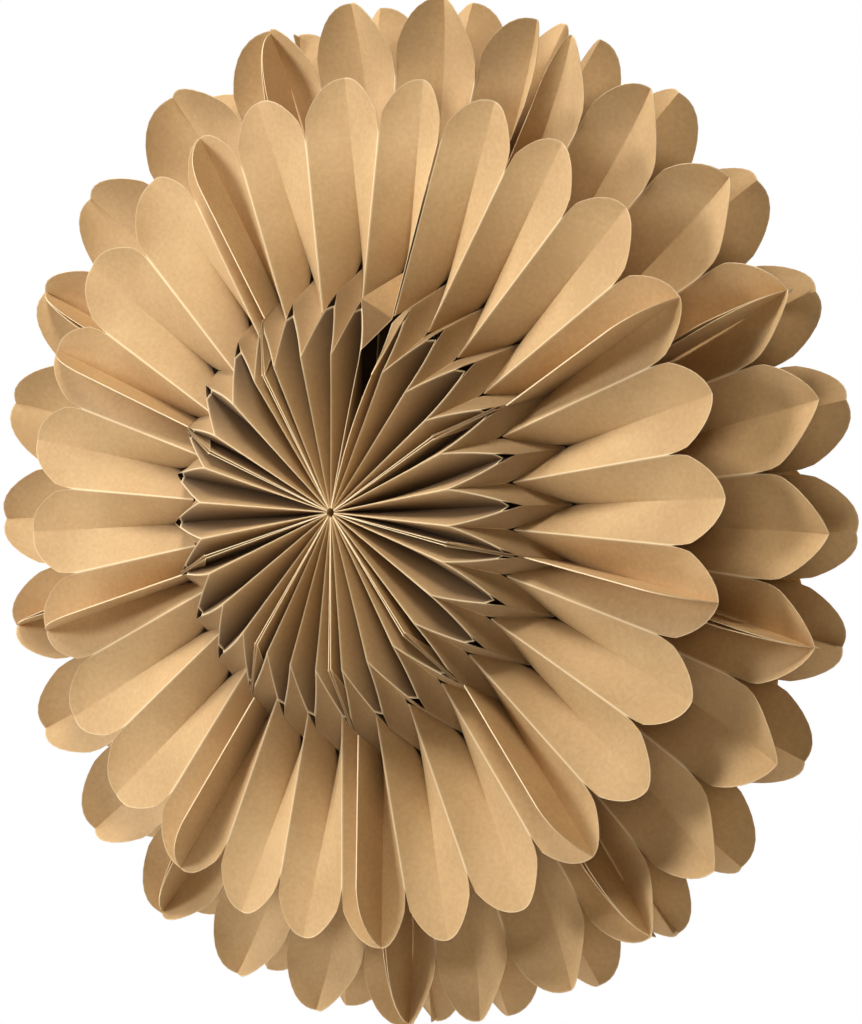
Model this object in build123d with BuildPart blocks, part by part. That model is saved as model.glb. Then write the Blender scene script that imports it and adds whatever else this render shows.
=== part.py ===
from build123d import *
from math import cos, radians, sin
import os

os.makedirs("parts", exist_ok=True)

# A hanging star of kraft paper: nine pleated units glued side by side round an axis.
# The axis lies along Y, the front faces -Y, Z is up and the origin is the middle of the star.
# Heights are measured from the middle plane towards the front, and the back mirrors the front.

# The paper and the gathered centre
paper_thickness = 0.3
hub_radius = 2.0
hub_wall = 4.5
spine_reach = 5.0
spine_height = 28.0

# Front layer: a raised rosette, a crimp behind its rim, then the inner ring of petals
hub_ridge_height = 50.7
hub_valley_height = 31.4
rosette_point_radius = 67.8
rosette_point_height = 57.4
rosette_hollow_radius = 92.3
rosette_hollow_height = 43.8
crimp_ridge_radius = 88.6
crimp_ridge_height = 39.9
crimp_valley_radius = 106.6
crimp_valley_height = 21.9
inner_tip_radius = 189.0
inner_tip_height = 31.7
inner_notch_depth = 25.4
inner_notch_rise = 1.4
inner_bow_drop = 10.0

# Front seam panel: the doubled end panel stands proud of its valley, from the crimp to the tip.
# Its start is given from the rosette's hollow, and its notch and bow from the petal's tip.
inner_fin_start_reach = 3.2
inner_fin_start_drop = 6.5
inner_fin_notch_depth = 28.0
inner_fin_notch_rise = 13.4
inner_fin_bow_drop = 12.0
inner_fin_bow_rise = 10.2

# Straight snips that round each half petal and each seam's end panel
petal_snips = 3
fin_snips = 2

# Rear layer: a plain pleated sheet that carries the outer ring of petals
rear_hub_ridge_height = 24.6
rear_hub_valley_height = 5.0
rear_bend_radius = 145.0
rear_bend_ridge_height = 14.4
rear_bend_valley_height = 1.2
outer_tip_radius = 225.0
outer_tip_height = 6.6
outer_notch_depth = 35.5
outer_notch_rise = 3.7
outer_shoulder_drop = 25.2
outer_bow_drop = 8.0

# Rear seam panel, whose waist keeps a clearance behind the valley of the crimp in front of it
outer_fin_clearance = 2.9
outer_fin_notch_depth = 37.0
outer_fin_notch_rise = 15.9
outer_fin_bow_drop = 11.5
outer_fin_bow_rise = 11.4

# Where a petal's shoulder and bow lie between its fold and the notch beside it
inner_bow_share = 0.66
outer_shoulder_share = 0.95
outer_bow_share = 0.54

# How much a steep pleat stretches the wall of the paper when it is measured along the axis
rosette_wall_share = 2.2
petal_wall_share = 1.2

# Clock angles of the petal folds, clockwise from the top as seen from the front, one list a unit.
# The first and last fold of a unit is a seam with its neighbour, except at the open joint.
inner_folds = [
    [23, 35, 48, 62],
    [62, 75, 88, 101],
    [101, 114, 127, 139],
    [139, 152, 165, 176],
    [176, 189, 200, 212],
    [212, 227, 240, 253],
    [253, 267, 280, 293],
    [293, 306, 322, 332],
    [332, 343, 358, 371],
]
# The outer ring sits a few degrees further round, and furthest beside the open joint.
outer_folds = [
    [26, 38, 52, 66],
    [66, 78, 92, 104],
    [104, 117, 131, 142],
    [142, 154, 167, 177],
    [177, 190, 202, 215],
    [215, 229, 243, 256],
    [256, 269, 283, 297],
    [297, 310, 327, 343],
    [343, 355, 368, 381],
]
inner_joint_angles = (17.0, 375.0)
outer_joint_angles = (24.0, 383.0)


def radial_plane(clock):
    """Half plane from the axis at a clock angle: x runs outwards and y to the front."""
    outward = Vector(sin(radians(clock)), 0, cos(radians(clock)))
    return Plane(origin=(0, 0, 0), x_dir=outward, z_dir=outward.cross(Vector(0, -1, 0)))


def place(point, clock):
    """Point of a fold, given by its radius and height, at a clock angle."""
    radius, height = point
    return Vector(radius * sin(radians(clock)), -height, radius * cos(radians(clock)))


def lowered(point, wall):
    """Point of a fold moved back by a wall."""
    return (point[0], point[1] - wall)


hub_ridge = (hub_radius, hub_ridge_height)
hub_valley = (hub_radius, hub_valley_height)
rosette_point = (rosette_point_radius, rosette_point_height)
rosette_hollow = (rosette_hollow_radius, rosette_hollow_height)
crimp_ridge = (crimp_ridge_radius, crimp_ridge_height)
crimp_valley = (crimp_valley_radius, crimp_valley_height)
inner_tip = (inner_tip_radius, inner_tip_height)
inner_notch = (inner_tip_radius - inner_notch_depth, inner_tip_height + inner_notch_rise)
rear_hub_ridge = (hub_radius, rear_hub_ridge_height)
rear_hub_valley = (hub_radius, rear_hub_valley_height)
rear_bend_ridge = (rear_bend_radius, rear_bend_ridge_height)
rear_bend_valley = (rear_bend_radius, rear_bend_valley_height)
outer_tip = (outer_tip_radius, outer_tip_height)
outer_notch = (outer_tip_radius - outer_notch_depth, outer_tip_height + outer_notch_rise)

rosette_wall = rosette_wall_share * paper_thickness
petal_wall = petal_wall_share * paper_thickness

# Each layer is given by its folds from the hub to the rim: the ridge line and the valley line
# point by point, the wall at each point, and the radii and shares that round its petals.
# The outer petals part at a short slit, from the notch to their shoulders.
front_layer = {
    "ridge": [hub_ridge, rosette_point, crimp_ridge, inner_notch],
    "valley": [hub_valley, rosette_hollow, crimp_valley, inner_tip],
    "walls": [hub_wall, rosette_wall, petal_wall, petal_wall],
    "bow": (inner_tip_radius - inner_bow_drop, inner_bow_share),
    "fin_edge": [
        hub_ridge,
        rosette_point,
        rosette_hollow,
        (rosette_hollow_radius + inner_fin_start_reach, rosette_hollow_height - inner_fin_start_drop),
        (inner_tip_radius - inner_fin_notch_depth, inner_tip_height + inner_fin_notch_rise),
    ],
    "fin_bow": (inner_tip_radius - inner_fin_bow_drop, inner_tip_height + inner_fin_bow_rise),
    "fin_foot": [
        lowered(crimp_valley, petal_wall / 2),
        lowered(rosette_hollow, rosette_wall / 2),
        lowered(hub_valley, hub_wall / 2),
    ],
}
rear_layer = {
    "ridge": [rear_hub_ridge, rear_bend_ridge, outer_notch],
    "valley": [rear_hub_valley, rear_bend_valley, outer_tip],
    "walls": [hub_wall, petal_wall, petal_wall],
    "shoulder": (outer_tip_radius - outer_shoulder_drop, outer_shoulder_share),
    "bow": (outer_tip_radius - outer_bow_drop, outer_bow_share),
    "fin_edge": [
        rear_hub_ridge,
        lowered(crimp_valley, outer_fin_clearance),
        (outer_tip_radius - outer_fin_notch_depth, outer_tip_height + outer_fin_notch_rise),
    ],
    "fin_bow": (outer_tip_radius - outer_fin_bow_drop, outer_tip_height + outer_fin_bow_rise),
    "fin_foot": [
        lowered(rear_bend_valley, petal_wall / 2),
        lowered(rear_hub_valley, hub_wall / 2),
    ],
}


def facet(corners):
    """Flat triangle of the sheet: three fold points, each with its clock angle and its wall."""
    front = [place(point, clock) for point, clock, wall in corners]
    back = [place(lowered(point, wall), clock) for point, clock, wall in corners]
    return ConvexPolyhedron([*front, *back], mode=Mode.PRIVATE)


def snipped(start, middle, end, snips):
    """Bow of a petal through three points, cut in short straight snips."""
    bow = ThreePointArc(start, middle, end, mode=Mode.PRIVATE)
    return [bow @ (snip / snips) for snip in range(snips + 1)]


def petal_half(layer, ridge_clock, valley_clock):
    """Rim of a half panel: a flat plate from the last bend to the notch, shoulder, bow and tip."""
    notch = place(layer["ridge"][-1], ridge_clock)
    tip = place(layer["valley"][-1], valley_clock)
    bend = place(layer["valley"][-2], valley_clock)
    panel = Plane(origin=tip, x_dir=tip - bend, z_dir=(tip - bend).cross(notch - tip))

    def on_panel(radius, share):
        """Point of the panel at a radius and a share of the way from the valley to the ridge."""
        flat = place((radius, 0), valley_clock + share * (ridge_clock - valley_clock))
        rise = (tip - flat).dot(panel.z_dir) / panel.z_dir.Y
        return panel.to_local_coords(flat + Vector(0, rise, 0))

    with BuildPart() as plate:
        with BuildSketch(panel):
            with BuildLine():
                tip_corner = panel.to_local_coords(tip)
                notch_corner = panel.to_local_coords(notch)
                slit = [notch_corner] if "shoulder" in layer else []
                start = on_panel(*layer["shoulder"]) if slit else notch_corner
                bow = snipped(start, on_panel(*layer["bow"]), tip_corner, petal_snips)
                Polyline(*bow, panel.to_local_coords(bend), *slit, close=True)
            make_face()
        extrude(amount=layer["walls"][-1], dir=(0, 1, 0))
    return plate.part


def half_panel(layer, ridge_clock, valley_clock):
    """One pleat wall between a ridge and a valley: flat triangles out to the rim, then its petal half."""
    ridge = [(point, ridge_clock, wall) for point, wall in zip(layer["ridge"], layer["walls"])]
    valley = [(point, valley_clock, wall) for point, wall in zip(layer["valley"], layer["walls"])]
    pieces = [petal_half(layer, ridge_clock, valley_clock)]
    pieces.append(facet([ridge[-2], ridge[-1], valley[-2]]))
    for step in range(len(ridge) - 2):
        pieces.append(facet([ridge[step], ridge[step + 1], valley[step + 1]]))
        pieces.append(facet([ridge[step], valley[step], valley[step + 1]]))
    return pieces


def fin_outline(layer, clock):
    """Outline of a seam's standing end panel: the free edge, its bowed end and its foot."""
    with BuildSketch(radial_plane(clock)) as outline:
        with BuildLine():
            bow = snipped(layer["fin_edge"][-1], layer["fin_bow"], layer["valley"][-1], fin_snips)
            Polyline(*layer["fin_edge"], *bow[1:], *layer["fin_foot"], close=True)
        make_face()
    return outline.sketch


def pleated_sheet(layer, valleys, joint_before, joint_after):
    """One layer of a unit: its half panels in order, and a fin standing at each seam."""
    folds = []
    if joint_before is not None:
        folds.append(joint_before)
    for clock, next_clock in zip(valleys, valleys[1:]):
        folds += [clock, (clock + next_clock) / 2]
    folds.append(valleys[-1])
    if joint_after is not None:
        folds.append(joint_after)
    pieces = []
    for clock, next_clock in zip(folds, folds[1:]):
        valley, ridge = (clock, next_clock) if clock in valleys else (next_clock, clock)
        pieces += half_panel(layer, ridge, valley)
    with BuildPart() as sheet:
        add(pieces)
        if joint_before is None:
            extrude(fin_outline(layer, valleys[0]), amount=paper_thickness)
        if joint_after is None:
            extrude(fin_outline(layer, valleys[-1]), amount=-paper_thickness)
    return sheet.part


for number, (inner, outer) in enumerate(zip(inner_folds, outer_folds), start=1):
    first = number == 1
    last = number == len(inner_folds)
    inner_ends = (inner_joint_angles[0] if first else None, inner_joint_angles[1] if last else None)
    outer_ends = (outer_joint_angles[0] if first else None, outer_joint_angles[1] if last else None)

    with BuildPart() as segment:
        add(pleated_sheet(front_layer, inner, *inner_ends))
        add(pleated_sheet(rear_layer, outer, *outer_ends))
        with BuildSketch(radial_plane(inner[2] if last else inner[1])):
            with Locations(((hub_radius + spine_reach) / 2, spine_height / 2)):
                Rectangle(spine_reach - hub_radius, spine_height)
        extrude(amount=paper_thickness / 2, both=True)
        mirror(about=Plane.XZ)

    segment.part.label = f"paper_segment_{number}"
    export_step(segment.part, f"parts/paper_segment_{number}.step")
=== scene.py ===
import bpy
import math
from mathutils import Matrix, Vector


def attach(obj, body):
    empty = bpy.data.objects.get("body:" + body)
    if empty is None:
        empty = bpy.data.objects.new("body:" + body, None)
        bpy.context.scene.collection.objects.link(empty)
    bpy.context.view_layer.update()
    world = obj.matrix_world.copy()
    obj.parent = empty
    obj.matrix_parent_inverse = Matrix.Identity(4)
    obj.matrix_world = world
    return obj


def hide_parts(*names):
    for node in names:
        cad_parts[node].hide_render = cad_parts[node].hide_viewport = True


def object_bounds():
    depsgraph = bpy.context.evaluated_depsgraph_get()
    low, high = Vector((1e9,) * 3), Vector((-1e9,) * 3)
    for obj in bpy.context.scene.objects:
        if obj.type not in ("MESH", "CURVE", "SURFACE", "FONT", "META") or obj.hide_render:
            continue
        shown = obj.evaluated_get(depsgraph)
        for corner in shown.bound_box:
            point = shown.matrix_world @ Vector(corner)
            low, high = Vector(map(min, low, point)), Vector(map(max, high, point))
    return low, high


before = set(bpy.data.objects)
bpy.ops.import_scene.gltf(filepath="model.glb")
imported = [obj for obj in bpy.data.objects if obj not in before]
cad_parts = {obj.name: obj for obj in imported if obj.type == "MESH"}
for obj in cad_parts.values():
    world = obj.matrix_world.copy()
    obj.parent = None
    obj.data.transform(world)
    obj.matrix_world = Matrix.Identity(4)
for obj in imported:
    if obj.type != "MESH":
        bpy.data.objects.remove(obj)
cad_low, cad_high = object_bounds()

# Kraft paper
# One sort of uncoated brown paper for the whole star: matt, faintly fibrous and paler where a fold
# or a cut edge has broken its surface. Inside the folds a painted shade darkens it, a near-black
# brown that stands in for the shade that falls there.
PAPER_COLOUR = (0.61, 0.385, 0.170, 1.0)
PAPER_DARK_COLOUR = (0.50, 0.300, 0.120, 1.0)
# Painted shade: the near-black brown mixed into the paper where it lies in shade inside the folds
PAPER_PAINTED_SHADE_COLOUR = (0.075, 0.033, 0.008, 1.0)
PAPER_EDGE_COLOUR = (0.88, 0.68, 0.40, 1.0)
PAPER_ROUGHNESS = 0.75
PAPER_SPECULAR = 0.5
FIBRE_SCALE = 520.0
FIBRE_DETAIL = 4.0
FIBRE_WEIGHT = 0.55
CLOUD_SCALE = 22.0
CLOUD_DETAIL = 5.0
# Values of the mottle that give the dark colour and the plain one
MOTTLE_RANGE = (0.60, 1.0)
RELIEF_STRENGTH = 0.12
RELIEF_HEIGHT = 0.0003
# Sockets of a mix node that mixes colours
MIX_LOW = 6
MIX_HIGH = 7
MIX_RESULT = 2


def feed(tree, socket, value):
    """Links a socket to another node's output, or sets it to a plain value."""
    if isinstance(value, bpy.types.NodeSocket):
        tree.links.new(value, socket)
    else:
        socket.default_value = value


def add_node(tree, kind, **inputs):
    """One node of a tree, with its inputs set or linked by their names."""
    node = tree.nodes.new(kind)
    for name, value in inputs.items():
        feed(tree, node.inputs[name.replace("_", " ")], value)
    return node


def add_math(tree, operation, *values):
    """Result of a math node, with its inputs set or linked in their order."""
    node = tree.nodes.new("ShaderNodeMath")
    node.operation = operation
    for socket, value in zip(node.inputs, values):
        feed(tree, socket, value)
    return node.outputs[0]


def add_colour_mix(tree, factor, low, high):
    """Result of a mix node between two colours."""
    node = add_node(tree, "ShaderNodeMix", Factor=factor)
    node.data_type = "RGBA"
    tree.links.new(low, node.inputs[MIX_LOW])
    tree.links.new(high, node.inputs[MIX_HIGH])
    return node.outputs[MIX_RESULT]


def paper_fibre_group():
    """Shader group: the paper's colour and height from its pulp, fibres, worn edges and painted fold
    shade.
    """
    group = bpy.data.node_groups.new("paper fibre", "ShaderNodeTree")
    face = group.interface
    for name in ("Colour", "Dark Colour", "Painted Shade Colour", "Edge Colour"):
        face.new_socket(name, in_out="INPUT", socket_type="NodeSocketColor")
    for name in ("Depth", "Wear", "Fibre Scale", "Cloud Scale"):
        face.new_socket(name, in_out="INPUT", socket_type="NodeSocketFloat")
    face.new_socket("Colour", in_out="OUTPUT", socket_type="NodeSocketColor")
    face.new_socket("Height", in_out="OUTPUT", socket_type="NodeSocketFloat")
    given = group.nodes.new("NodeGroupInput").outputs
    where = group.nodes.new("ShaderNodeTexCoord").outputs["Object"]
    noise = "ShaderNodeTexNoise"
    clouds = add_node(group, noise, Vector=where, Scale=given["Cloud Scale"], Detail=CLOUD_DETAIL)
    fibres = add_node(group, noise, Vector=where, Scale=given["Fibre Scale"], Detail=FIBRE_DETAIL)
    fibre_height = fibres.outputs["Fac"]
    mottle = add_math(group, "MULTIPLY_ADD", fibre_height, FIBRE_WEIGHT, clouds.outputs["Fac"])
    low, high = MOTTLE_RANGE
    spread = add_node(group, "ShaderNodeMapRange", Value=mottle, From_Min=low, From_Max=high)
    pulp = add_colour_mix(group, spread.outputs["Result"], given["Dark Colour"], given["Colour"])
    # Painted shade: mixes the pulp towards the near-black shade colour by the painted shade attribute
    with_painted_shade = add_colour_mix(group, given["Depth"], pulp, given["Painted Shade Colour"])
    worn = add_colour_mix(group, given["Wear"], with_painted_shade, given["Edge Colour"])
    result = group.nodes.new("NodeGroupOutput").inputs
    group.links.new(worn, result["Colour"])
    group.links.new(fibre_height, result["Height"])
    return group


def kraft_paper():
    """The paper's material: the fibre group feeds its colour and a faint relief."""
    paper = bpy.data.materials.new("kraft_paper")
    paper.use_nodes = True
    tree = paper.node_tree
    shader = tree.nodes["Principled BSDF"]
    shader.inputs["Roughness"].default_value = PAPER_ROUGHNESS
    shader.inputs["Specular IOR Level"].default_value = PAPER_SPECULAR
    fibre = tree.nodes.new("ShaderNodeGroup")
    fibre.node_tree = paper_fibre_group()
    fibre.inputs["Colour"].default_value = PAPER_COLOUR
    fibre.inputs["Dark Colour"].default_value = PAPER_DARK_COLOUR
    fibre.inputs["Painted Shade Colour"].default_value = PAPER_PAINTED_SHADE_COLOUR
    fibre.inputs["Edge Colour"].default_value = PAPER_EDGE_COLOUR
    fibre.inputs["Fibre Scale"].default_value = FIBRE_SCALE
    fibre.inputs["Cloud Scale"].default_value = CLOUD_SCALE
    # The wear attribute and the painted shade attribute drive the group
    for name in ("Wear", "Depth"):
        attribute = tree.nodes.new("ShaderNodeAttribute")
        attribute.attribute_name = name.lower()
        tree.links.new(attribute.outputs["Fac"], fibre.inputs[name])
    tree.links.new(fibre.outputs["Colour"], shader.inputs["Base Color"])
    relief = add_node(tree, "ShaderNodeBump", Strength=RELIEF_STRENGTH, Distance=RELIEF_HEIGHT)
    tree.links.new(fibre.outputs["Height"], relief.inputs["Height"])
    tree.links.new(relief.outputs["Normal"], shader.inputs["Normal"])
    return paper


paper_material = kraft_paper()

# Folds
# Nine pleated units stand side by side round the axis. Each fold is a line from the hub to the
# rim, given point by point as a radius and a height over the middle plane, in millimetres.
MM = 0.001
PAPER_THICKNESS = 0.3 * MM
# Clock angles of the valley folds in degrees, seen from the front, one list a unit. Neighbours
# share the fold at their seam, and the joint angles are the free ridges at the open joint.
inner_folds = [
    [23, 35, 48, 62],
    [62, 75, 88, 101],
    [101, 114, 127, 139],
    [139, 152, 165, 176],
    [176, 189, 200, 212],
    [212, 227, 240, 253],
    [253, 267, 280, 293],
    [293, 306, 322, 332],
    [332, 343, 358, 371],
]
outer_folds = [
    [26, 38, 52, 66],
    [66, 78, 92, 104],
    [104, 117, 131, 142],
    [142, 154, 167, 177],
    [177, 190, 202, 215],
    [215, 229, 243, 256],
    [256, 269, 283, 297],
    [297, 310, 327, 343],
    [343, 355, 368, 381],
]
inner_joint_angles = (16.2, 375.8)
outer_joint_angles = (24.0, 383.0)

# A bow gives the radius, share and roundness of a petal's rim, and the share at which its
# shoulder turns in. Past its notch a petal is free: a lobe gives the angle by which the crease
# down its middle folds it forward, and the millimetres by which its tip bends forward.
# Where the crimp pulls at the paper it opens small holes at the ends of the folds: the share of
# a stretch's length they take, for each stretch's inner end 0 and outer end 1.
FRONT_SHEET = {
    "ridge": [(2.0, 50.7), (67.8, 57.1), (86.0, 37.5), (163.6, 33.1)],
    "valley": [(2.0, 31.4), (93.6, 43.8), (106.6, 21.9), (188.8, 31.7)],
    "bow": (181.5, 0.656, 2.2, 0.94),
    "lobe": (math.radians(22), 0.0),
    "valley_holes": {(0, 1): 0.045, (1, 0): 0.10, (2, 0): 0.055},
    "ridge_holes": {(1, 1): 0.07, (2, 0): 0.022},
    "parts": ("rosette", "crimp", "petal"),
}
REAR_SHEET = {
    "ridge": [(2.0, 24.6), (145.0, 14.4), (189.5, 10.3)],
    "valley": [(2.0, 5.0), (145.0, 1.2), (224.8, 6.6)],
    "bow": (219.0, 0.54, 2.4, 0.95),
    "lobe": (math.radians(40), 4.0),
    "valley_holes": {},
    "ridge_holes": {},
    "parts": ("covered", "outer petal"),
}
# Share of a wall's width that a hole takes
HOLE_WIDTH = 0.22
# Hollow of a wall between its folds at the rim, how sharply a cross fold holds it flat, and how
# late a free lobe and its tip turn forward
CUPPING = 1.0
FOLD_GRIP = 8
LOBE_TURN_POWER = 1.5
TIP_LIFT_POWER = 2
# The last unit's wall at the open joint is the flap. Three fold points are pulled out of their
# place there: fold, number of the point, and its radius, height and clock angle.
FLAP_CLOCK = inner_joint_angles[1]
MOVED = {
    (inner_joint_angles[0], 1): (63.6, 55.5, 23.9),
    (FLAP_CLOCK, 1): (72.4, 56.0, 376.8),
    (371, 1): (92.4, 44.0, 367.2),
}

# Shares across a wall, and along its stretches, at which it is divided: closest by the folds
columns = (0, 0.03, 0.12, 0.22, 0.34, 0.48, 0.6, 0.72, 0.8, 0.87, 0.92, 0.963, 1)
hub_rows = (0, 0.04, 0.12, 0.25, 0.4, 0.55, 0.7, 0.82, 0.91, 0.955, 0.987, 1)
crimp_rows = (0, 0.045, 0.2, 0.4, 0.6, 0.8, 0.96, 1)
rim_rows = (0, 0.015, 0.06, 0.16, 0.28, 0.4, 0.52, 0.63, 0.73, 0.82, 0.89, 0.95, 0.992, 1)

# Wear of a sharp fold, of a cut edge and of the crimp's foot, and from them the wear of the inner
# and the outer end of each stretch
SHARP_WEAR = 1.0
CUT_WEAR = 0.7
CRIMP_WEAR = 0.5
STRETCH_WEAR = ((0.0, SHARP_WEAR), (SHARP_WEAR, CRIMP_WEAR))
RIM_WEAR = (0.0, CUT_WEAR)

# Painted shade in the folds: how strongly the near-black is mixed in where shade falls. It is
# strongest in the rosette's valleys, in the crimp towards its valleys and on a petal at its foot, and
# a painted dark mark lies by each hole, given as shares of the wall's width and length. The flap's
# inner side takes an even painted shade, and the rear sheet where the front sheet covers it is
# painted dark, fading out at its outer end.
ROSETTE_PAINTED_SHADE = 0.95
ROSETTE_PAINTED_SHADE_POWER = 0.65
CRIMP_PAINTED_SHADE = 0.25
CRIMP_VALLEY_PAINTED_SHADE = 0.3
CRIMP_HOLE_SHADE_SIZE = (0.2, 0.2)
FOOT_PAINTED_SHADE = 0.4
FOOT_SHADE_LENGTH = 0.35
FOOT_SHADE_RIDGE_FADE = 0.4
FOOT_HOLE_SHADE_SIZE = (0.3, 0.07)
FLAP_SIDE_PAINTED_SHADE = 0.5
COVERED_SHADE_FADE = 8


def mix(a, b, share):
    """Point a share of the way from a to b."""
    return tuple(x + share * (y - x) for x, y in zip(a, b))


def bulge(share):
    """Arch over a wall: 0 at both of its sides and 1 midway."""
    return 4 * share * (1 - share)


def place(point, clock):
    """Place of a fold point, given by its radius and height in millimetres, at a clock angle."""
    radius, height = point
    angle = math.radians(clock)
    return Vector((radius * math.sin(angle), -height, radius * math.cos(angle))) * MM


def height_on(line, radius):
    """Height of the straight line through two fold points, at a radius."""
    (near, low, _), (far, high, _) = line
    return low + (radius - near) / (far - near) * (high - low)


def rows_of(number, last):
    """Shares along a stretch of a wall, by its number."""
    if number == last:
        return rim_rows
    return hub_rows if number == 0 else crimp_rows


def painted_hole_shade(size, across, along):
    """Painted shade by a hole: 1 at the hole, falling to 0 at its size across and along the wall."""
    return 1 - math.hypot(across / size[0], along / size[1])


def painted_fold_shade(part, share, step):
    """Painted shade at a point in the folds: 1 in a closed fold and beside a hole, 0 in the open."""
    if part == "rosette":
        return ROSETTE_PAINTED_SHADE * (1 - share) ** ROSETTE_PAINTED_SHADE_POWER
    if part == "crimp":
        wall = CRIMP_PAINTED_SHADE + CRIMP_VALLEY_PAINTED_SHADE * (1 - share)
        return max(wall, painted_hole_shade(CRIMP_HOLE_SHADE_SIZE, share, 1 - step))
    if part == "petal":
        foot = FOOT_PAINTED_SHADE * max(0, 1 - step / FOOT_SHADE_LENGTH) * (1 - FOOT_SHADE_RIDGE_FADE * share)
        return max(foot, painted_hole_shade(FOOT_HOLE_SHADE_SIZE, share, step))
    if part == "flap side":
        return FLAP_SIDE_PAINTED_SHADE
    # Painted dark: the rear sheet where the front sheet covers it, fading out at its outer end
    if part == "covered":
        return min(1, COVERED_SHADE_FADE * (1 - step))
    return 0


class PaperSheet:
    """The paper of one unit, gathered patch by patch before it becomes a mesh."""

    def __init__(self):
        self.points = []
        self.faces = []
        self.wear = []
        self.depth = []

    def add_patch(self, at, shares, steps, worn, part, flipped):
        """Patch between folds. at(share, step) gives each point, and worn its four sides' wear."""
        first = len(self.points)
        width = len(shares)
        for step in steps:
            for share in shares:
                self.points.append(at(share, step))
                sides = (share == 0, share == 1, step == 0, step == 1)
                edge = max(wear * side for wear, side in zip(worn, sides))
                beside_hole = part == "crimp" and share < HOLE_WIDTH and step < 1
                self.wear.append(0 if beside_hole else edge)
                # Painted shade of each point, from its part of the sheet and its place on the wall
                self.depth.append(painted_fold_shade(part, share, step))
        for row in range(len(steps) - 1):
            for column in range(width - 1):
                corner = first + row * width + column
                face = [corner, corner + 1, corner + width + 1, corner + width]
                self.faces.append(face[::-1] if flipped else face)


def rim_radius(bow, tip_radius, notch_radius, share):
    """Outline of a half petal: its bow from tip to shoulder, then the short side of the slit."""
    bow_radius, bow_share, roundness, shoulder_share = bow
    reach = min(share, shoulder_share)
    radius = tip_radius - (tip_radius - bow_radius) * (reach / bow_share) ** roundness
    if share > shoulder_share:
        turned = (share - shoulder_share) / (1 - shoulder_share)
        radius += turned * (notch_radius - radius)
    return radius


def hole_at(layer, number, end, share):
    """How far the hole at a stretch's inner end 0 or outer end 1 moves the edge of the wall."""
    at_valley = layer["valley_holes"].get((number, end), 0) * max(0, 1 - share / HOLE_WIDTH)
    at_ridge = layer["ridge_holes"].get((number, end), 0) * max(0, 1 - (1 - share) / HOLE_WIDTH)
    return max(at_valley, at_ridge)


def fold_points(line, clock):
    """Points of one fold at its clock angle: radius, height and clock angle."""
    return [MOVED.get((clock, number), (*point, clock)) for number, point in enumerate(line)]


def add_flap(sheet, valley, ridge, flipped):
    """The crimp's wall at the open joint, creased from the rosette's hollow to the petal's ridge."""
    hollow, foot = valley[1], valley[2]
    point, crest = ridge[1], ridge[2]
    outer_half = (foot, crest, (0, 0, 0, CRIMP_WEAR), "flap")
    # The flap's inner triangle takes an even painted shade
    inner_half = (crest, point, (0, SHARP_WEAR, 0, CUT_WEAR), "flap side")
    for one, other, worn, part in (outer_half, inner_half):

        def at(share, step):
            """Point of one of the flap's two triangles."""
            radius, height, clock = mix(hollow, mix(one, other, share), step)
            return place((radius, height), clock)

        sheet.add_patch(at, columns, columns, worn, part, flipped)


def half_panel(sheet, layer, ridge_clock, valley_clock):
    """One pleat wall from the hub to the rim, between a valley fold and a ridge fold."""
    ridge = fold_points(layer["ridge"], ridge_clock)
    valley = fold_points(layer["valley"], valley_clock)
    pitch = ridge_clock - valley_clock
    flipped = ridge_clock > valley_clock
    last = len(ridge) - 2
    notch_radius = ridge[-1][0]
    tip_radius = valley[-1][0]
    lobe_angle, tip_lift = layer["lobe"]

    def rim_point(share):
        """Cut edge of the petal."""
        radius = rim_radius(layer["bow"], tip_radius, notch_radius, share)
        low = (radius, height_on(valley[-2:], radius), valley_clock)
        high = (radius, height_on(ridge[-2:], radius), ridge_clock)
        return mix(low, high, share)

    for number in range(last + 1):
        if number == 1 and ridge_clock == FLAP_CLOCK:
            add_flap(sheet, valley, ridge, flipped)
            continue

        def at(share, step):
            """Point of this stretch, with the holes kept open and the wall slightly cupped."""
            start = mix(valley[number], ridge[number], share)
            if number == last:
                end = rim_point(share)
            else:
                end = mix(valley[number + 1], ridge[number + 1], share)
            held = 1 if number == 0 else 1 - (1 - step) ** FOLD_GRIP
            held *= 1 if number == last else 1 - step**FOLD_GRIP
            low = hole_at(layer, number, 0, share)
            high = hole_at(layer, number, 1, share)
            radius, height, clock = mix(start, end, low + step * (1 - low - high))
            height -= CUPPING * held * radius / tip_radius * bulge(share)
            freed = (radius - notch_radius) / (tip_radius - notch_radius)
            if number == last and freed > 0:
                turn = lobe_angle * freed**LOBE_TURN_POWER
                height += share * abs(math.radians(pitch)) * radius * math.sin(turn)
                height += tip_lift * freed**TIP_LIFT_POWER
                clock -= share * pitch * (1 - math.cos(turn))
            return place((radius, height), clock)

        worn = (0.0, SHARP_WEAR, *(RIM_WEAR if number == last else STRETCH_WEAR[number]))
        steps = rows_of(number, last)
        sheet.add_patch(at, columns, steps, worn, layer["parts"][number], flipped)


def pleated_sheet(sheet, layer, folds, joints):
    """One layer of a unit: its half panels in order round the clock."""
    first, last = joints
    lines = [] if first is None else [(first, "ridge")]
    for clock, next_clock in zip(folds, folds[1:]):
        lines += [(clock, "valley"), ((clock + next_clock) / 2, "ridge")]
    lines.append((folds[-1], "valley"))
    if last is not None:
        lines.append((last, "ridge"))
    for (clock, kind), (next_clock, _) in zip(lines, lines[1:]):
        pair = (next_clock, clock) if kind == "valley" else (clock, next_clock)
        half_panel(sheet, layer, *pair)


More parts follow.
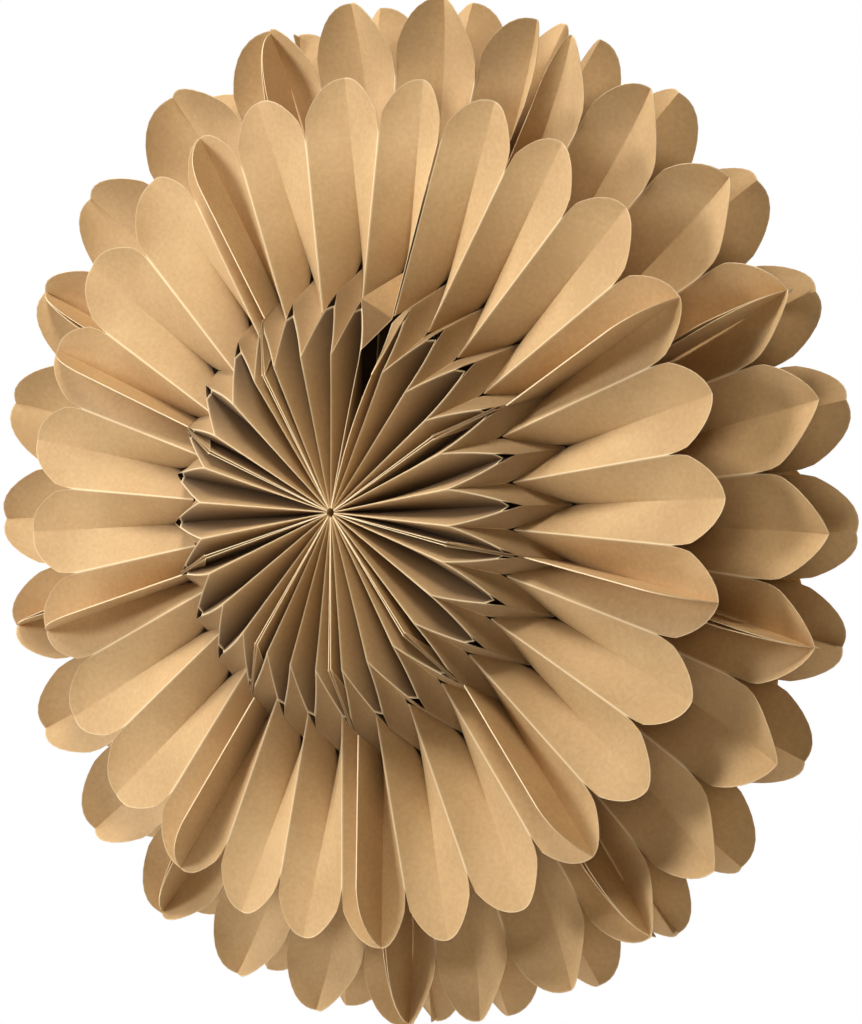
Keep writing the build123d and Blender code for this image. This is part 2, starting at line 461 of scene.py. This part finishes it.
# Seam panels
# The last half panel of each unit is folded flat against its neighbour's and glued to it, so a
# doubled panel stands on its valley fold at every seam, from the hub to the tip.
FRONT_PANEL = {
    "edge": [(2.0, 50.7), (67.4, 57.1), (84.2, 38.3), (161.0, 47.0)],
    "foot": FRONT_SHEET["valley"],
    "bow": (177.0, 43.6),
    "crimp_lift": 0.15,
    "parts": FRONT_SHEET["parts"],
}
REAR_PANEL = {
    "edge": [(2.0, 14.0), (106.6, 19.0), (188.2, 25.4)],
    "foot": [(2.0, 5.0), (106.6, 2.2), (224.8, 6.6)],
    "bow": (214.5, 19.5),
    "crimp_lift": 0,
    "parts": REAR_SHEET["parts"],
}
# Millimetres from the seam to the face of a panel, and by which each stretch of its free edge
# leans away: late on the way up the panel, and in full from the splay radius outwards
PANEL_GAP = 0.2
PANEL_SPLAY = (0.8, 0.8, 0.08)
SPLAY_POWER = 3
SPLAY_RADIUS = 100


def seam_panel(sheet, panel, clock, side):
    """Standing panel on one side of a seam, a stretch for each fold point."""
    edge, foot, bow = panel["edge"], panel["foot"], panel["bow"]
    last = len(edge) - 2
    angle = math.radians(clock)
    across = Vector((math.cos(angle), 0, -math.sin(angle)))
    for number in range(last + 1):
        lift = panel["crimp_lift"] * (number % 2)

        def at(share, step):
            """Point of the panel, which leans a little away from the seam at its free edge."""
            start = mix(foot[number], edge[number], share)
            end = mix(foot[number + 1], edge[number + 1], share)
            if number == last:
                middle = mix(foot[-1], edge[-1], 0.5)
                end = tuple(e + bulge(share) * (b - m) for e, b, m in zip(end, bow, middle))
            point = mix(start, end, step)
            splay = PANEL_SPLAY[number] * share**SPLAY_POWER * min(1, point[0] / SPLAY_RADIUS)
            aside = side * (PANEL_GAP + lift + splay)
            return place(point, clock) + across * aside * MM

        worn = (0.0, SHARP_WEAR, 0.0, CUT_WEAR if number == last else 0.0)
        steps = rows_of(number, last)
        sheet.add_patch(at, columns, steps, worn, panel["parts"][number], side > 0)


# Units
# Each unit is a front sheet and a rear sheet, and the same pair mirrored for the back, glued
# to its neighbours at the seams. The tree gives the paper its thickness.
WELD_DISTANCE = 0.01 * MM
FOLD_ANGLE = math.radians(24)


def unit_tree():
    """Geometry Nodes: thickens a sheet inwards, adds the mirrored back and sets the paper."""
    tree = bpy.data.node_groups.new("paper unit", "GeometryNodeTree")
    face = tree.interface
    face.new_socket("Geometry", in_out="INPUT", socket_type="NodeSocketGeometry")
    face.new_socket("Paper Thickness", in_out="INPUT", socket_type="NodeSocketFloat")
    face.new_socket("Weld Distance", in_out="INPUT", socket_type="NodeSocketFloat")
    face.new_socket("Paper", in_out="INPUT", socket_type="NodeSocketMaterial")
    face.new_socket("Geometry", in_out="OUTPUT", socket_type="NodeSocketGeometry")
    given = tree.nodes.new("NodeGroupInput").outputs
    merge = "GeometryNodeMergeByDistance"
    weld = add_node(tree, merge, Geometry=given["Geometry"], Distance=given["Weld Distance"])
    thick = add_node(tree, "GeometryNodeExtrudeMesh", Mesh=weld.outputs["Geometry"], Individual=False)
    inwards = add_math(tree, "MULTIPLY", given["Paper Thickness"], -1.0)
    tree.links.new(inwards, thick.inputs["Offset Scale"])
    under = add_node(tree, "GeometryNodeFlipFaces", Mesh=thick.outputs["Mesh"])
    shell = tree.nodes.new("GeometryNodeJoinGeometry")
    tree.links.new(weld.outputs["Geometry"], shell.inputs[0])
    tree.links.new(under.outputs["Mesh"], shell.inputs[0])
    closed = add_node(tree, merge, Geometry=shell.outputs[0], Distance=given["Weld Distance"])
    turned = add_node(tree, "GeometryNodeTransform", Geometry=closed.outputs["Geometry"])
    turned.inputs["Scale"].default_value = (1, -1, 1)
    back = add_node(tree, "GeometryNodeFlipFaces", Mesh=turned.outputs["Geometry"])
    both = tree.nodes.new("GeometryNodeJoinGeometry")
    tree.links.new(closed.outputs["Geometry"], both.inputs[0])
    tree.links.new(back.outputs["Mesh"], both.inputs[0])
    real = add_node(tree, "GeometryNodeRealizeInstances", Geometry=both.outputs[0])
    paper = add_node(tree, "GeometryNodeSetMaterial", Material=given["Paper"])
    tree.links.new(real.outputs["Geometry"], paper.inputs["Geometry"])
    result = tree.nodes.new("NodeGroupOutput").inputs
    tree.links.new(paper.outputs["Geometry"], result["Geometry"])
    return tree


def sheet_object(name, sheet):
    """Blender object of a sheet, with its wear and its painted shade in the folds as attributes."""
    mesh = bpy.data.meshes.new(name)
    mesh.from_pydata([tuple(point) for point in sheet.points], [], sheet.faces)
    for quality, values in (("wear", sheet.wear), ("depth", sheet.depth)):
        attribute = mesh.attributes.new(quality, "FLOAT", "POINT")
        attribute.data.foreach_set("value", values)
    mesh.update()
    made = bpy.data.objects.new(name, mesh)
    bpy.context.scene.collection.objects.link(made)
    return made


def finished_unit(made, tree):
    """Runs the tree on a sheet and keeps the result as a plain mesh."""
    modifier = made.modifiers.new("paper unit", "NODES")
    modifier.node_group = tree
    values = {
        "Paper Thickness": PAPER_THICKNESS,
        "Weld Distance": WELD_DISTANCE,
        "Paper": paper_material,
    }
    for item in tree.interface.items_tree:
        if item.in_out == "INPUT" and item.name in values:
            modifier[item.identifier] = values[item.name]
    depsgraph = bpy.context.evaluated_depsgraph_get()
    finished = bpy.data.meshes.new_from_object(made.evaluated_get(depsgraph))
    finished.shade_smooth()
    finished.set_sharp_from_angle(angle=FOLD_ANGLE)
    made.modifiers.remove(modifier)
    made.data = finished
    return made


tree = unit_tree()
for number, (inner, outer) in enumerate(zip(inner_folds, outer_folds), start=1):
    first = number == 1
    last = number == len(inner_folds)
    inner_ends = (inner_joint_angles[0] if first else None, inner_joint_angles[1] if last else None)
    outer_ends = (outer_joint_angles[0] if first else None, outer_joint_angles[1] if last else None)
    sheet = PaperSheet()
    pleated_sheet(sheet, FRONT_SHEET, inner, inner_ends)
    pleated_sheet(sheet, REAR_SHEET, outer, outer_ends)
    for side, index, end in ((1, 0, inner_ends[0]), (-1, -1, inner_ends[1])):
        if end is None:
            seam_panel(sheet, FRONT_PANEL, inner[index], side)
            seam_panel(sheet, REAR_PANEL, outer[index], side)
    unit = finished_unit(sheet_object(f"paper_unit_{number}", sheet), tree)
    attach(unit, "root")
    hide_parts(f"paper_segment_{number}")

# Camera
# The star hangs on its edge and is seen from its right, level with its middle. Its distance in
# metres, its lens and its shift were fitted to the photograph's outline.
CAMERA_AZIMUTH = math.radians(37.13)
CAMERA_ELEVATION = math.radians(0.41)
CAMERA_DISTANCE = 1.7544
CAMERA_TARGET = Vector((0, -0.0066, 0))
CAMERA_LENS = 140.625
CAMERA_SHIFT = 0.0381
camera_data = bpy.data.cameras.new("camera")
camera = bpy.data.objects.new("camera", camera_data)
bpy.context.scene.collection.objects.link(camera)
camera_back = Vector((
    math.sin(CAMERA_AZIMUTH) * math.cos(CAMERA_ELEVATION),
    -math.cos(CAMERA_AZIMUTH) * math.cos(CAMERA_ELEVATION),
    math.sin(CAMERA_ELEVATION),
))
camera.location = CAMERA_TARGET + camera_back * CAMERA_DISTANCE
camera.rotation_euler = (-camera_back).to_track_quat("-Z", "Y").to_euler()
camera_data.lens = CAMERA_LENS
camera_data.shift_x = CAMERA_SHIFT
bpy.context.scene.camera = camera

# Room
# A plain pale floor under the hanging star and a white backdrop, which only what looks straight
# at it sees, so that the star is lit by its lamps and by a faint warm glow from all round.
FLOOR_DROP = 0.32
FLOOR_SIZE = 3.0
FLOOR_COLOUR = (0.9, 0.9, 0.9, 1.0)
FLOOR_ROUGHNESS = 0.9
FLOOR_GLOW = 0.6
BACKDROP_COLOUR = (1.0, 1.0, 1.0, 1.0)
BACKDROP_STRENGTH = 1.0
ROOM_COLOUR = (1.0, 0.86, 0.68, 1.0)
ROOM_STRENGTH = 0.015


def floor_material():
    """White to the camera, and a plain pale surface to the light that falls on the star."""
    white = bpy.data.materials.new("floor")
    white.use_nodes = True
    tree = white.node_tree
    surface = tree.nodes["Principled BSDF"]
    surface.inputs["Base Color"].default_value = FLOOR_COLOUR
    surface.inputs["Roughness"].default_value = FLOOR_ROUGHNESS
    surface.inputs["Emission Color"].default_value = BACKDROP_COLOUR
    seen = tree.nodes.new("ShaderNodeLightPath").outputs["Is Camera Ray"]
    glow = add_math(tree, "MULTIPLY", seen, FLOOR_GLOW)
    tree.links.new(glow, surface.inputs["Emission Strength"])
    return white


floor_mesh = bpy.data.meshes.new("floor")
half = FLOOR_SIZE / 2
drop = cad_low.z - FLOOR_DROP
corners = [(-half, -half, drop), (half, -half, drop), (half, half, drop), (-half, half, drop)]
floor_mesh.from_pydata(corners, [], [(0, 1, 2, 3)])
floor = bpy.data.objects.new("floor", floor_mesh)
bpy.context.scene.collection.objects.link(floor)
floor.data.materials.append(floor_material())

world = bpy.data.worlds.new("room")
bpy.context.scene.world = world
world.use_nodes = True
room = world.node_tree
room_light = room.nodes["Background"]
room_light.inputs["Color"].default_value = ROOM_COLOUR
room_light.inputs["Strength"].default_value = ROOM_STRENGTH
backdrop = room.nodes.new("ShaderNodeBackground")
backdrop.inputs["Color"].default_value = BACKDROP_COLOUR
backdrop.inputs["Strength"].default_value = BACKDROP_STRENGTH
path = room.nodes.new("ShaderNodeLightPath").outputs
looking = add_math(room, "MAXIMUM", path["Is Camera Ray"], path["Is Glossy Ray"])
looking = add_math(room, "MAXIMUM", looking, path["Is Transmission Ray"])
choice = room.nodes.new("ShaderNodeMixShader")
room.links.new(looking, choice.inputs[0])
room.links.new(room_light.outputs[0], choice.inputs[1])
room.links.new(backdrop.outputs[0], choice.inputs[2])
room.links.new(choice.outputs[0], room.nodes["World Output"].inputs["Surface"])

# Lamps
# Seven soft lamps at one distance round the star: three cool or plain ones from the upper left
# and the top, two weak warm ones from below and from the right, and two behind for the back.
LAMP_DISTANCE = 1.6
LAMP_SIZE = 0.5
COOL_TINT = (0.95, 1.0, 1.08)
PLAIN_TINT = (1.0, 0.99, 0.97)
WARM_TINT = (1.0, 0.84, 0.6)


def area_lamp(name, towards, watts, tint):
    """Soft lamp that shines on the star from a direction."""
    data = bpy.data.lights.new(name, "AREA")
    data.shape = "DISK"
    data.size = LAMP_SIZE
    data.energy = watts
    data.color = tint
    lamp = bpy.data.objects.new(name, data)
    bpy.context.scene.collection.objects.link(lamp)
    direction = Vector(towards).normalized()
    lamp.location = direction * LAMP_DISTANCE
    lamp.rotation_euler = (-direction).to_track_quat("-Z", "Y").to_euler()


area_lamp("key lamp", (-0.9, -1.0, 0.3), 13.6, COOL_TINT)
area_lamp("upper lamp", (-1.0, -0.6, 0.8), 10.5, COOL_TINT)
area_lamp("top lamp", (0.06, -0.55, 1.0), 16.8, PLAIN_TINT)
area_lamp("low lamp", (-0.8, -0.8, -0.5), 4.5, WARM_TINT)
area_lamp("right lamp", (0.8, -1.0, 0.1), 2.2, WARM_TINT)
area_lamp("back lamp", (-0.2, 1.0, 0.5), 14, COOL_TINT)
area_lamp("back fill lamp", (0.7, 1.0, -0.2), 5, COOL_TINT)

bpy.context.scene.view_settings.view_transform = "Standard"
